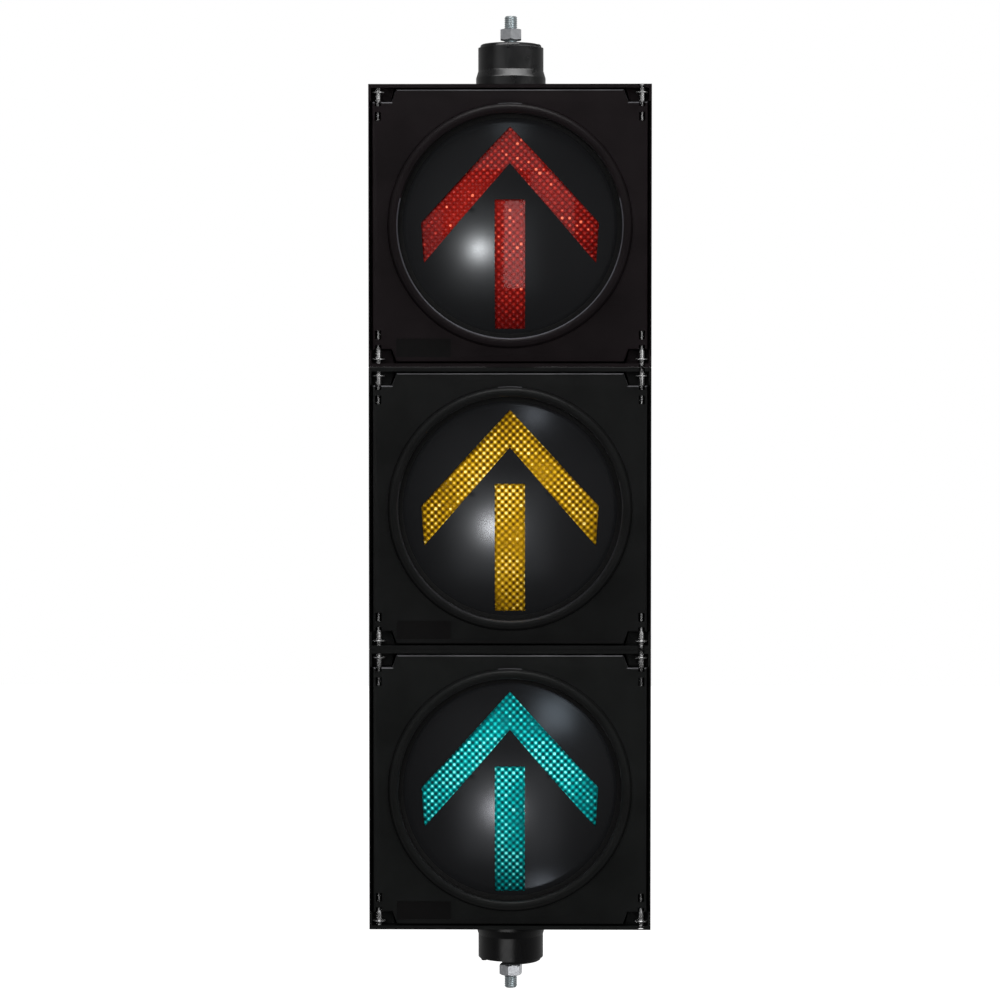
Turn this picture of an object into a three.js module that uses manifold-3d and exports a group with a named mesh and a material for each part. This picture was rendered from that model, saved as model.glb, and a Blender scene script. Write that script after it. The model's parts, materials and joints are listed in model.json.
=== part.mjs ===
// Three-section traffic signal head for 200 mm signals, showing straight-ahead arrows.
// Millimetres, +Z up. The front faces -Y. The origin is on the axis of the two bracket bolts,
// in the end plane of the lower spigot, where the lower bracket bears.
//
// Each section is a square housing with a door in front of it. The door carries the coloured
// lens, the black arrow mask, and four sprung bolts at its corners, which plug into the
// housing's rain shelves. The two left bolts are the hinge, and the two right ones the latch.

import * as THREE from "three";
import { mergeVertices } from "three/addons/utils/BufferGeometryUtils.js";
import Module from "manifold-3d";

const wasm = await Module();
wasm.setup();

// Driving dimensions.
const PITCH = 253; // height of one section, and the width of the head
const HALF = PITCH / 2;
const GAP = 0.3; // between pieces that touch
const SHELF = 3.3; // top and bottom walls of a housing
const WALL = 3; // the other walls, and the door's
const SPIGOT_HEIGHT = 43.5;
const BOLT_PROUD = 26; // bracket bolt beyond the spigot's end

// Depths, along Y.
const SHELF_FRONT = -87;
const SIDE_FRONT = -76; // front of the side walls that flank the door, but for a thin lip
const LIP = 0.95; // thickness of that lip, which the door's corner swings clear of
const RIM_FRONT = -60; // front of the housing's rim
const RIM_BACK = -55;
const HOUSING_BACK = 60;
const REAR_CORNER_R = 26;
const DOOR_FRONT = -86;
const DOOR_BACK = -61;
const RING_FRONT = -92; // the visor's seat
const APEX = -100; // front of the domed mask

// Door outline, seen from the front, about the section's centre.
const DOOR_HALF_W = 123;
const DOOR_HALF_H = 121.4;
const NOTCH_TOP_X = 101.7;
const NOTCH_FOOT_X = 105.8;
const NOTCH_FLOOR_Z = 110.3;

// Round parts of the door.
const ROUND = 24; // sides of a large circle
const SMALL_ROUND = 8;
const APERTURE_R = 100.3;
const SOCKET_R = 107;
const DOME_R = 250; // outer radius of the mask's dome
const DOME_CENTRE = APEX + DOME_R;
const DOME_STATIONS = [0, 14, 40, 70, 97]; // radii where nested domes have their rings
const MASK_EDGE_R = DOME_STATIONS.at(-1);
const MASK_THICK = 1.2;
const LENS_THICK = 3;
const LENS_EDGE_R = 105;

// Sprung bolts.
const BOLT_X = 118;
const BOLT_Y = -81;
const BOLT_TOP = 125.6; // end of an upper sprung bolt, above its section's centre
const BOLT_BORE_R = 2.7;

// Couplings and spigots.
const TUBE_R = 22.5; // outside of the hollow bush and of the spigot's tail
const TUBE_BORE_R = 18;
const WALL_HOLE_R = 23;
const THREAD_R = 6; // M12

const COLOURS = {
  plastic: 0x1a1a1b,
  mask: 0x1d1e20,
  red: 0x8c1a14,
  amber: 0xb07c08,
  green: 0x077f80,
  rubber: 0x101010,
  aluminium: 0xc8cacc,
  steel: 0xb4b8bc,
  glass: 0xdfe6e8,
  ceramic: 0xe6e2d8,
  terminal: 0x8a8f86,
};

function material(colour, roughness, metalness = 0) {
  return new THREE.MeshStandardMaterial({ color: colour, roughness, metalness });
}

const MATERIALS = {
  plastic: material(COLOURS.plastic, 0.5),
  mask: material(COLOURS.mask, 0.35),
  rubber: material(COLOURS.rubber, 0.85),
  aluminium: material(COLOURS.aluminium, 0.25, 1),
  steel: material(COLOURS.steel, 0.35, 1),
  glass: material(COLOURS.glass, 0.05),
  ceramic: material(COLOURS.ceramic, 0.3),
  terminal: material(COLOURS.terminal, 0.6),
};

// A closed geometry as a manifold-3d solid.
function solid(geometry) {
  const bare = new THREE.BufferGeometry();
  bare.setAttribute("position", geometry.getAttribute("position"));
  bare.setIndex(geometry.index);
  const merged = mergeVertices(bare, 1e-4);
  const index = merged.index.array;
  const triVerts = [];
  for (let i = 0; i < index.length; i += 3) {
    const [a, b, c] = index.slice(i, i + 3);
    if (a !== b && b !== c && c !== a) triVerts.push(a, b, c);
  }
  const mesh = new wasm.Mesh({
    numProp: 3,
    vertProperties: merged.getAttribute("position").array,
    triVerts: new Uint32Array(triVerts),
  });
  return new wasm.Manifold(mesh);
}

function join(...geometries) {
  return toGeometry(geometries.map(solid).reduce((a, b) => a.add(b)));
}

function cut(base, ...tools) {
  return toGeometry(tools.map(solid).reduce((a, b) => a.subtract(b), solid(base)));
}

function toGeometry(manifold) {
  const mesh = manifold.getMesh();
  const geometry = new THREE.BufferGeometry();
  geometry.setAttribute("position", new THREE.BufferAttribute(mesh.vertProperties, 3));
  geometry.setIndex(new THREE.BufferAttribute(mesh.triVerts, 1));
  geometry.computeVertexNormals();
  return geometry;
}

// A box between two corners.
function box([x0, y0, z0], [x1, y1, z1]) {
  const geometry = new THREE.BoxGeometry(x1 - x0, y1 - y0, z1 - z0);
  return geometry.translate((x0 + x1) / 2, (y0 + y1) / 2, (z0 + z1) / 2);
}

// A solid of revolution about Y. Its profile holds [radius, y] points, in either direction.
function turned(profile, sides = ROUND) {
  const points = profile.map(([r, y]) => new THREE.Vector2(r, y));
  if (THREE.ShapeUtils.isClockWise(points)) points.reverse();
  return new THREE.LatheGeometry(points, sides);
}

// The same about Z, with [radius, z] points.
function upright(profile, sides = ROUND) {
  return turned(profile, sides).rotateX(Math.PI / 2);
}

function rodAlongZ(radius, z0, z1, sides = ROUND) {
  return upright([[0, z0], [radius, z0], [radius, z1], [0, z1]], sides);
}

// An outline in X and Z, extruded from y0 to y1.
function panel(shape, y0, y1) {
  const geometry = new THREE.ExtrudeGeometry(shape, { depth: y1 - y0, bevelEnabled: false });
  return geometry.rotateX(Math.PI / 2).translate(0, y1, 0);
}

// An outline in X and Y, extruded from z0 to z1.
function slab(shape, z0, z1) {
  const geometry = new THREE.ExtrudeGeometry(shape, { depth: z1 - z0, bevelEnabled: false });
  return geometry.translate(0, 0, z0);
}

// Anticlockwise, since ExtrudeGeometry turns holes round only inside such an outline.
function outline(points) {
  const vectors = points.map(([x, z]) => new THREE.Vector2(x, z));
  if (THREE.ShapeUtils.isClockWise(vectors)) vectors.reverse();
  return new THREE.Shape(vectors);
}

function polygonPoints(radius, sides, turn = 0) {
  return Array.from({ length: sides }, (_, i) => {
    const angle = turn + (i * 2 * Math.PI) / sides;
    return [radius * Math.cos(angle), radius * Math.sin(angle)];
  });
}

// The door's outline with its four corner notches, moved in by inset.
function doorOutline(inset = 0) {
  const corner = [
    [NOTCH_TOP_X - inset, DOOR_HALF_H - inset],
    [NOTCH_FOOT_X - inset, NOTCH_FLOOR_Z - inset],
    [DOOR_HALF_W - inset, NOTCH_FLOOR_Z - inset],
  ];
  const right = [...corner, ...corner.map(([x, z]) => [x, -z]).reverse()];
  const left = right.map(([x, z]) => [-x, z]).reverse();
  return outline([...right, ...left]);
}

function doorFrame(outer, inner) {
  const shape = doorOutline(outer);
  shape.holes.push(doorOutline(inner));
  return shape;
}

// Distance along Y of a dome of this radius, at r from the optical axis.
function domeY(radius, r) {
  return DOME_CENTRE - Math.sqrt(radius ** 2 - r ** 2);
}

function domePoints(radius) {
  return DOME_STATIONS.map((r) => [r, domeY(radius, r)]);
}

const CORNERS = [
  { name: "upper_left", x: -1, z: 1 },
  { name: "upper_right", x: 1, z: 1 },
  { name: "lower_left", x: -1, z: -1 },
  { name: "lower_right", x: 1, z: -1 },
];

// A corner lug carries the outer ends of the rain shelf and backs the sprung bolt.
function lug({ x, z }) {
  const clear = 1.4; // from the door's notch
  const foot = NOTCH_FLOOR_Z + 0.6;
  const top = HALF - 2 * GAP;
  const block = [
    [NOTCH_TOP_X + clear, top],
    [NOTCH_FOOT_X + clear, foot],
    [HALF, foot],
    [HALF, top],
  ].map(([px, pz]) => [px * x, pz * z]);
  const cheek = [
    [HALF - 2.3, foot],
    [HALF, foot],
    [HALF, top],
    [HALF - 2.3, top],
  ].map(([px, pz]) => [px * x, pz * z]);
  return [
    panel(outline(block), BOLT_Y + 7, RIM_FRONT + 1),
    panel(outline(cheek), SHELF_FRONT, RIM_FRONT + 1),
  ];
}

// The bolt's head turns in a hole on the hinge side. On the latch side a slot under the shelf's
// outer skin runs out forwards.
function headSeat({ x, z }) {
  const radius = 2.6;
  const near = HALF - SHELF - 1;
  const hole = rodAlongZ(radius, near, HALF + 1, SMALL_ROUND).translate(BOLT_X, BOLT_Y, 0);
  const slot = box([BOLT_X - radius, SHELF_FRONT - 1, near], [BOLT_X + radius, BOLT_Y, BOLT_TOP + GAP]);
  const seat = x > 0 ? join(hole, slot) : hole;
  return mirrored(seat, x, z);
}

// A geometry turned to another corner. Half turns keep its faces outwards.
function mirrored(geometry, x, z) {
  const copy = geometry.clone().scale(x, 1, z);
  if (x * z < 0) {
    const index = copy.index.array;
    for (let i = 0; i < index.length; i += 3) {
      [index[i + 1], index[i + 2]] = [index[i + 2], index[i + 1]];
    }
  }
  return copy;
}

// A housing from above, moved in by inset, with its front edge at frontY.
function housingPlan(inset, frontY) {
  const radius = REAR_CORNER_R - inset;
  const x = HALF - REAR_CORNER_R;
  const y = HOUSING_BACK - REAR_CORNER_R;
  const arc = [0, 1, 2, 3, 4].map((i) => (i * Math.PI) / 8);
  const rightCorner = arc.map((a) => [x + radius * Math.cos(a), y + radius * Math.sin(a)]);
  const leftCorner = rightCorner.map(([px, py]) => [-px, py]).reverse();
  return outline([[HALF - inset, frontY], ...rightCorner, ...leftCorner, [inset - HALF, frontY]]);
}

function housingGeometry() {
  const half = HALF - GAP;
  const inside = HALF - GAP - SHELF;
  const ledgeDepth = [-50, -45];
  const shell = cut(
    slab(housingPlan(0, RIM_FRONT), -half, half),
    slab(housingPlan(WALL, RIM_BACK), -inside, inside),
    panel(doorOutline(8), RIM_FRONT - 1, RIM_BACK + 1),
    panel(doorFrame(0.9, 4.7), RIM_FRONT - 1, RIM_FRONT + 2),
  );
  const shelf = box([-HALF, SHELF_FRONT, inside], [HALF, RIM_FRONT + 1, half]);
  const ledges = [
    box([112, ledgeDepth[0], -12], [HALF - 1, ledgeDepth[1], 12]),
    box([1 - HALF, ledgeDepth[0], -12], [-112, ledgeDepth[1], 12]),
    box([-12, ledgeDepth[0], 112], [12, ledgeDepth[1], HALF - 1]),
    box([-12, ledgeDepth[0], 1 - HALF], [12, ledgeDepth[1], -112]),
  ];
  const flank = join(
    box([HALF - 2.3, SIDE_FRONT, -half], [HALF, RIM_FRONT + 1, half]),
    box([HALF - LIP, SHELF_FRONT, -half], [HALF, SIDE_FRONT + 1, half]),
  );
  const whole = join(
    shell,
    flank,
    mirrored(flank, -1, 1),
    shelf,
    mirrored(shelf, 1, -1),
    ...ledges,
    ...CORNERS.flatMap(lug),
  );
  return cut(whole, rodAlongZ(WALL_HOLE_R, -HALF - 1, HALF + 1), ...CORNERS.map(headSeat));
}

function doorGasketGeometry() {
  return panel(doorFrame(1.2, 4.4), RIM_FRONT - 0.7, RIM_FRONT + 2 - GAP);
}

// Lens socket and the raised seat that a visor goes against.
const DOOR_RING = [
  [APERTURE_R, -82],
  [SOCKET_R, -82],
  [SOCKET_R, -70],
  [110, -70],
  [110, DOOR_FRONT + 1],
  [109, -88.5],
  [106.5, RING_FRONT],
  [102.5, RING_FRONT],
  [APERTURE_R, -90],
  [APERTURE_R, -82],
];

// A block in the door's corner, with a bore for a sprung bolt. The bore opens forwards
// at its mouth and in a small window.
function boltBlock({ x, z }) {
  const block = box([112.5, DOOR_FRONT + 1, 83], [DOOR_HALF_W, -76, NOTCH_FLOOR_Z]);
  return mirrored(block, x, z);
}

function boltBore({ x, z }) {
  const bore = rodAlongZ(BOLT_BORE_R + 0.2, 84.5, NOTCH_FLOOR_Z + 1, SMALL_ROUND);
  bore.rotateZ(Math.PI / 8).translate(BOLT_X, BOLT_Y, 0);
  const left = BOLT_X - BOLT_BORE_R;
  const right = BOLT_X + BOLT_BORE_R;
  const window = box([left, DOOR_FRONT - 1, 93.7], [right, BOLT_Y, 101.3]);
  const mouth = box([left, DOOR_FRONT - 1, 106.5], [right, BOLT_Y, NOTCH_FLOOR_Z + 1]);
  return mirrored(join(bore, window, mouth), x, z);
}

function doorGeometry() {
  const chamfer = 3; // on the long rear edges, so that the hinge side clears the gasket
  const edge = outline([
    [DOOR_HALF_W - chamfer, DOOR_BACK + 0.1],
    [DOOR_HALF_W + 0.1, DOOR_BACK + 0.1],
    [DOOR_HALF_W + 0.1, DOOR_BACK - chamfer],
  ]);
  const rearEdge = slab(edge, -HALF, HALF);
  const frame = cut(
    panel(doorOutline(), DOOR_FRONT, DOOR_BACK),
    panel(doorOutline(WALL), DOOR_FRONT + WALL, DOOR_BACK + 1),
    turned([[0, -95], [108, -95], [108, -75], [0, -75]]),
    rearEdge,
    mirrored(solidIndexed(rearEdge), -1, 1),
  );
  const body = join(frame, turned(DOOR_RING), ...CORNERS.map(boltBlock));
  const label = box([-102, DOOR_FRONT - 1, -117.5], [-52.5, DOOR_FRONT + 0.6, -100.5]);
  return cut(body, label, ...CORNERS.map(boltBore));
}

// ExtrudeGeometry has no index, and mirroring needs one.
function solidIndexed(geometry) {
  return toGeometry(solid(geometry));
}

function lensGeometry() {
  const outer = DOME_R - MASK_THICK - GAP;
  const inner = outer - LENS_THICK;
  const flangeFront = domeY(outer, MASK_EDGE_R);
  const back = domePoints(inner).slice(0, -1).reverse();
  return turned([
    ...domePoints(outer),
    [LENS_EDGE_R, flangeFront],
    [LENS_EDGE_R, flangeFront + LENS_THICK],
    ...back,
  ]);
}

// The arrow, as straight edges about the section's centre.
const ARROW_HEAD = [
  [0, 88.6],
  [-79.4, 2.7],
  [-77, -33.3],
  [0, 55.3],
  [77, -33.3],
  [79.4, 2.7],
];
const ARROW_SHAFT = [
  [-13.5, 22.9],
  [-13.5, -91.8],
  [13.5, -91.8],
  [13.5, 22.9],
];

function maskGeometry() {
  const back = domePoints(DOME_R - MASK_THICK).reverse();
  const dome = turned([...domePoints(DOME_R), ...back]);
  const holes = [ARROW_HEAD, ARROW_SHAFT].map((points) => panel(outline(points), -110, -70));
  return cut(dome, ...holes);
}

function lensGasketGeometry() {
  return turned([[97.8, -81.7], [106.6, -81.7], [106.6, -79.2], [97.8, -79.2], [97.8, -81.7]]);
}

function clampRingGeometry() {
  return turned([[98, -75.2], [106.6, -75.2], [106.6, -71], [98, -71], [98, -75.2]]);
}

// An aluminium bowl with a parabolic wall, four tabs and a neck for the lamp holder.
function reflectorGeometry() {
  const focal = 45;
  const apex = 7;
  const thick = 1.2;
  const front = -52.3;
  const wall = [24, 60, 84, 103].map((r) => [r, apex - r ** 2 / (4 * focal)]);
  const inner = [[21, 12], [21, apex - 3], ...wall];
  const rimY = inner[inner.length - 1][1];
  const outer = [...wall].reverse().map(([r, y]) => [r, y + thick * 1.4]);
  const bowl = turned([
    ...inner,
    [107, rimY],
    [107, rimY + thick * 1.4],
    ...outer,
    [22.2, 6],
    [22.2, 12],
    [21, 12],
  ]);
  const tabs = [
    box([103.5, front, -9], [121, front + 2, 9]),
    box([-121, front, -9], [-103.5, front + 2, 9]),
    box([-9, front, 103.5], [9, front + 2, 121]),
    box([-9, front, -121], [9, front + 2, -103.5]),
  ];
  return join(bowl, ...tabs);
}

function lampHolderGeometry() {
  return turned([[0, 31], [14, 31], [14, 4.8], [20, 4.8], [20, 40], [17, 48], [0, 48]], 12);
}

function lampGeometry() {
  const globe = [[0, -59], [12, -55.6], [20, -47], [23, -36], [19, -23], [13, -13]];
  return turned([...globe, [13, 28], [0, 28]], 12);
}

// Head, finger flange, shoulder, taper and shank, from the outer end in.
function sprungBoltGeometry() {
  return upright(
    [
      [0, BOLT_TOP],
      [2.1, BOLT_TOP],
      [2.1, 119.6],
      [5.8, 119.6],
      [5.8, 118.5],
      [2.3, 118.5],
      [2.3, 111],
      [1.3, 107.6],
      [1.3, 88.5],
      [0, 88.5],
    ],
    SMALL_ROUND,
  );
}

// Hollow spigot. Its base is at z 0, on the housing, and its tail goes in through the wall.
// The two recesses of its rim reach in as far as recessR.
function spigotGeometry(recessR) {
  const ledge = 40.3;
  const body = upright([
    [0, 6],
    [TUBE_BORE_R, 6],
    [TUBE_BORE_R, -14],
    [TUBE_R, -14],
    [TUBE_R, 2],
    [32, 2],
    [32, 12.5],
    [30, 19],
    [30, ledge],
    [28, ledge],
    [28, SPIGOT_HEIGHT],
    [23, SPIGOT_HEIGHT],
    [23, 14],
    [0, 14],
  ]);
  const cableHoles = polygonPoints(13.5, 3, Math.PI / 2).map(([x, y]) =>
    rodAlongZ(4.5, 0, 20, SMALL_ROUND).translate(x, y, 0),
  );
  return cut(
    body,
    rodAlongZ(THREAD_R + GAP, 0, 20, 12),
    ...cableHoles,
    keyNotch(0, ledge, recessR),
    keyNotch(Math.PI, ledge, recessR),
  );
}

// A recess of a sixth of a turn in the raised rim, for the bracket's key.
function keyNotch(turn, ledge, recessR) {
  const start = THREE.MathUtils.degToRad(16 - 90);
  const sixth = Math.PI / 3;
  const arc = (radius) =>
    [0, 0.25, 0.5, 0.75, 1].map((share) => {
      const angle = start + sixth * share;
      return [radius * Math.cos(angle), radius * Math.sin(angle)];
    });
  const shape = outline([...arc(31), ...arc(recessR).reverse()]);
  return slab(shape, ledge, SPIGOT_HEIGHT + 1).rotateZ(turn);
}

function hexagon(acrossFlats, turn) {
  return outline(polygonPoints(acrossFlats / Math.sqrt(3), 6, turn));
}

const ACROSS_FLATS = 19;

function bracketBoltGeometry() {
  const head = slab(hexagon(ACROSS_FLATS, 0), -2, 5.7);
  return join(head, rodAlongZ(THREAD_R, 5, SPIGOT_HEIGHT + BOLT_PROUD, 12));
}

function bracketNutGeometry(turn) {
  const z = SPIGOT_HEIGHT + 4;
  const hole = rodAlongZ(THREAD_R + GAP, z - 1, z + 11, 12);
  return cut(slab(hexagon(ACROSS_FLATS, turn), z, z + 10), hole);
}

function spigotSealGeometry() {
  return upright([[23.4, 0.3], [31, 0.3], [31, 1.7], [23.4, 1.7], [23.4, 0.3]]);
}

// Octagonal nut on a 45 mm tube, resting on a wall at z 0.
function ringNutGeometry() {
  const turn = Math.PI / 8;
  return cut(
    slab(outline(polygonPoints(32, 8, turn)), GAP, 8),
    rodAlongZ(TUBE_R + GAP, -1, 9),
  );
}

// Joins two housings through their wall holes. The joint's plane is at z 0.
function couplingBushGeometry() {
  const flangeTop = -SHELF - 2 * GAP;
  return upright([
    [TUBE_BORE_R, flangeTop - 5],
    [30, flangeTop - 5],
    [30, flangeTop],
    [TUBE_R, flangeTop],
    [TUBE_R, 15],
    [TUBE_BORE_R, 15],
    [TUBE_BORE_R, flangeTop - 5],
  ]);
}

function terminalBlockGeometry() {
  const body = box([-34, 44, 31], [34, 56.7, 53]);
  const top = box([-30, 40, 35], [30, 45, 49]);
  return join(body, top);
}

// A sleeved lead through hand-picked points.
function leadGeometry(points, steps) {
  const curve = new THREE.CatmullRomCurve3(points.map((p) => new THREE.Vector3(...p)));
  const section = outline(polygonPoints(2.5, 6));
  return new THREE.ExtrudeGeometry(section, { extrudePath: curve, steps });
}

// Points of each lead. Heights are above the bottom of the lowest housing.
const LEADS = {
  red: [
    [8, 48.7, 627], [8, 51, 626.6], [8, 52, 610], [8, 48, 575], [8, 26, 533], [6, 6, 515],
    [6, 4, 500], [10, 12, 483], [26, 34, 450], [30, 42, 379], [26, 34, 310], [8, 10, 271],
    [6, 4, 253], [9, 12, 233], [26, 36, 200], [30, 42, 127], [22, 50, 75], [18, 51, 59], [18, 51, 53.4],
  ],
  amber: [
    [-8, 48.7, 374], [-8, 51, 373.6], [-8, 52, 357], [-8, 48, 322], [-8, 26, 280], [-6, 6, 262],
    [-6, 4, 247], [-10, 12, 230], [-26, 36, 200], [-30, 42, 127], [-22, 50, 75], [-18, 51, 59], [-18, 51, 53.4],
  ],
  green: [[0, 48.7, 121], [0, 51, 120.6], [0, 52, 105], [0, 51, 53.4]],
};
const LEAD_STEPS = { red: 32, amber: 20, green: 5 };

function mesh(name, geometry, look) {
  const made = new THREE.Mesh(geometry, look);
  made.name = name;
  return made;
}

const SHARED = {
  housing: housingGeometry(),
  doorGasket: doorGasketGeometry(),
  door: doorGeometry(),
  lens: lensGeometry(),
  mask: maskGeometry(),
  lensGasket: lensGasketGeometry(),
  clampRing: clampRingGeometry(),
  reflector: reflectorGeometry(),
  lampHolder: lampHolderGeometry(),
  lamp: lampGeometry(),
  sprungBolt: sprungBoltGeometry(),
};

// One section, about its own centre.
function section(colour) {
  const group = new THREE.Group();
  group.add(
    mesh(`${colour}_housing`, SHARED.housing, MATERIALS.plastic),
    mesh(`${colour}_door_gasket`, SHARED.doorGasket, MATERIALS.rubber),
    mesh(`${colour}_door`, SHARED.door, MATERIALS.plastic),
    mesh(`${colour}_lens`, SHARED.lens, material(COLOURS[colour], 0.08)),
    mesh(`${colour}_arrow_mask`, SHARED.mask, MATERIALS.mask),
    mesh(`${colour}_lens_gasket`, SHARED.lensGasket, MATERIALS.rubber),
    mesh(`${colour}_lens_clamp_ring`, SHARED.clampRing, MATERIALS.plastic),
    mesh(`${colour}_reflector`, SHARED.reflector, MATERIALS.aluminium),
    mesh(`${colour}_lamp_holder`, SHARED.lampHolder, MATERIALS.ceramic),
    mesh(`${colour}_lamp`, SHARED.lamp, MATERIALS.glass),
  );
  for (const corner of CORNERS) {
    const bolt = mesh(`${colour}_bolt_${corner.name}`, SHARED.sprungBolt, MATERIALS.steel);
    bolt.position.set(corner.x * BOLT_X, BOLT_Y, 0);
    if (corner.z < 0) bolt.rotation.y = Math.PI;
    group.add(bolt);
  }
  return group;
}

// Spigot, seal, ring nut, bracket bolt and bracket nut at one end of the head.
function endFitting(place, nutTurn, recessR) {
  const group = new THREE.Group();
  const ringNut = mesh(`${place}_spigot_ring_nut`, ringNutGeometry(), MATERIALS.steel);
  ringNut.position.z = -SHELF - GAP - 8 - GAP;
  group.add(
    mesh(`${place}_spigot`, spigotGeometry(recessR), MATERIALS.plastic),
    mesh(`${place}_spigot_seal`, spigotSealGeometry(), MATERIALS.rubber),
    ringNut,
    mesh(`${place}_bracket_bolt`, bracketBoltGeometry(), MATERIALS.steel),
    mesh(`${place}_bracket_nut`, bracketNutGeometry(nutTurn), MATERIALS.steel),
  );
  return group;
}

function coupling(place) {
  const group = new THREE.Group();
  const ringNut = mesh(`${place}_coupling_ring_nut`, ringNutGeometry(), MATERIALS.steel);
  ringNut.position.z = SHELF + GAP;
  group.add(mesh(`${place}_coupling_bush`, couplingBushGeometry(), MATERIALS.plastic), ringNut);
  return group;
}

const head = new THREE.Group();

["green", "amber", "red"].forEach((colour, i) => {
  const group = section(colour);
  group.position.z = SPIGOT_HEIGHT + PITCH * (i + 0.5);
  head.add(group);
});

["lower", "upper"].forEach((place, i) => {
  const group = coupling(place);
  group.position.z = SPIGOT_HEIGHT + PITCH * (i + 1);
  head.add(group);
});

const NUT_CORNER_FORWARD = Math.PI / 2;
const top = endFitting("upper", NUT_CORNER_FORWARD, 25);
top.position.z = SPIGOT_HEIGHT + 3 * PITCH;
const bottom = endFitting("lower", NUT_CORNER_FORWARD + THREE.MathUtils.degToRad(13), 22);
bottom.position.z = SPIGOT_HEIGHT;
bottom.rotation.y = Math.PI;
head.add(top, bottom);

const wiring = new THREE.Group();
for (const colour of ["red", "amber", "green"]) {
  const lead = leadGeometry(LEADS[colour], LEAD_STEPS[colour]);
  wiring.add(mesh(`${colour}_lead`, lead, MATERIALS.rubber));
}
wiring.add(mesh("terminal_block", terminalBlockGeometry(), MATERIALS.terminal));
wiring.position.z = SPIGOT_HEIGHT;
head.add(wiring);

export default head;
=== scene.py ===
"""Looks for the three-section arrow signal head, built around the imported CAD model.

Shapes are written in millimetres about one section's centre, with x to the right, y away
from the viewer and z up, and are scaled to metres when they become meshes.
"""

import json
import math

import bmesh
import bpy
import numpy as np
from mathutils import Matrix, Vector, geometry

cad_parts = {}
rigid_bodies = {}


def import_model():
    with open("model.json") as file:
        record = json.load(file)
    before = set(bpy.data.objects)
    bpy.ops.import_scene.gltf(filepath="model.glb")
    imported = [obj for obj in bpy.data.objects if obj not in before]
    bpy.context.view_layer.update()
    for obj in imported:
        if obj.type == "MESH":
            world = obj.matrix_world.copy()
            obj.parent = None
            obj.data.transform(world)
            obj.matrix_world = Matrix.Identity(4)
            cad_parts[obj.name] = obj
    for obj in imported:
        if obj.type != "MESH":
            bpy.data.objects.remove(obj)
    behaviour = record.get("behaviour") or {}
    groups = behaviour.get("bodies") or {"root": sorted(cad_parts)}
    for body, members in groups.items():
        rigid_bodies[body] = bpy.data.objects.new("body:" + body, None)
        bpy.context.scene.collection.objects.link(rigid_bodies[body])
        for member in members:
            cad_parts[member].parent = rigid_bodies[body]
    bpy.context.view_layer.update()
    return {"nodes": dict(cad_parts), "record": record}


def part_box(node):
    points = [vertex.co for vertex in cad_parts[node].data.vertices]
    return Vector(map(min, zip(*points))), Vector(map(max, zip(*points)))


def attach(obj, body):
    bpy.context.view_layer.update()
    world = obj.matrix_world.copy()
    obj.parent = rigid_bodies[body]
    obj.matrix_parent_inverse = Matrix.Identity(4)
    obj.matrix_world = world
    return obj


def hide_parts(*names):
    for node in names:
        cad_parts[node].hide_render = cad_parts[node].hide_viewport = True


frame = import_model()

MM = 0.001
COLOURS = ("red", "amber", "green")
# Each corner's side in x and z.
CORNERS = {
    "upper_left": (-1, 1),
    "upper_right": (1, 1),
    "lower_left": (-1, -1),
    "lower_right": (1, -1),
}
SECTION = 253.0  # height of one section
SPIGOT = 43.5  # height of a spigot, which is also the lower end of the housings
LEDGE = 40.3  # height of the spigot's barrel, below its raised rim
JOINTS = {"lower": SPIGOT + SECTION, "upper": SPIGOT + 2 * SECTION}

# The sprung bolts' axes.
BOLT_X = 118.0
BOLT_Y = -81.0

DOOR_BACK = -61.0
DOOR_SIDE = 122.98  # just inside the leaf's side faces

# The domed mask and lens.
DOME_CENTRE = 150.0  # their common centre of curvature, along y
MASK_R = 250.0
MASK_EDGE = 97.0
MASK_THICK = 1.2
MASK_INSET = 0.02  # keeps the mask's front just behind the CAD's
LENS_R = 248.5
LENS_THICK = 1.4  # at the bottom of the grooves between prisms
PRISM_EDGE = 96.0
PRISM_PITCH = 4.7
PRISM_DEPTH = 1.5
PRISM_STEPS = 6  # mesh cells along one prism

# The camera: metres, millimetres of lens, share of the frame, and degrees.
CAMERA_AT = Vector((0.025, -2.788, 0.55))
CAMERA_LENS = 108.68
CAMERA_SHIFT_Y = -0.03
CAMERA_PITCH = 88.044
CAMERA_TURN = 0.719

LIGHT_DISTANCE = 1.2  # from a mirrored point to its light, in metres


def centre_z(node):
    low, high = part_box(node)
    return (low.z + high.z) / 2 / MM


SECTION_Z = {colour: centre_z(f"{colour}_housing") for colour in COLOURS}
TOP_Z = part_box("upper_spigot")[1].z / MM
BODY = {node: body for body, nodes in frame["record"]["behaviour"]["bodies"].items() for node in nodes}


# Meshes.


def mesh_from(name, verts, faces):
    mesh = bpy.data.meshes.new(name)
    mesh.from_pydata([tuple(c * MM for c in v) for v in verts], [], faces)
    mesh.validate()
    mesh.update()
    return mesh


def temporary(verts, faces):
    """An object that stands in the scene only while a boolean is worked out."""
    obj = bpy.data.objects.new("tool", outward(mesh_from("tool", verts, faces)))
    bpy.context.scene.collection.objects.link(obj)
    return obj


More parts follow.
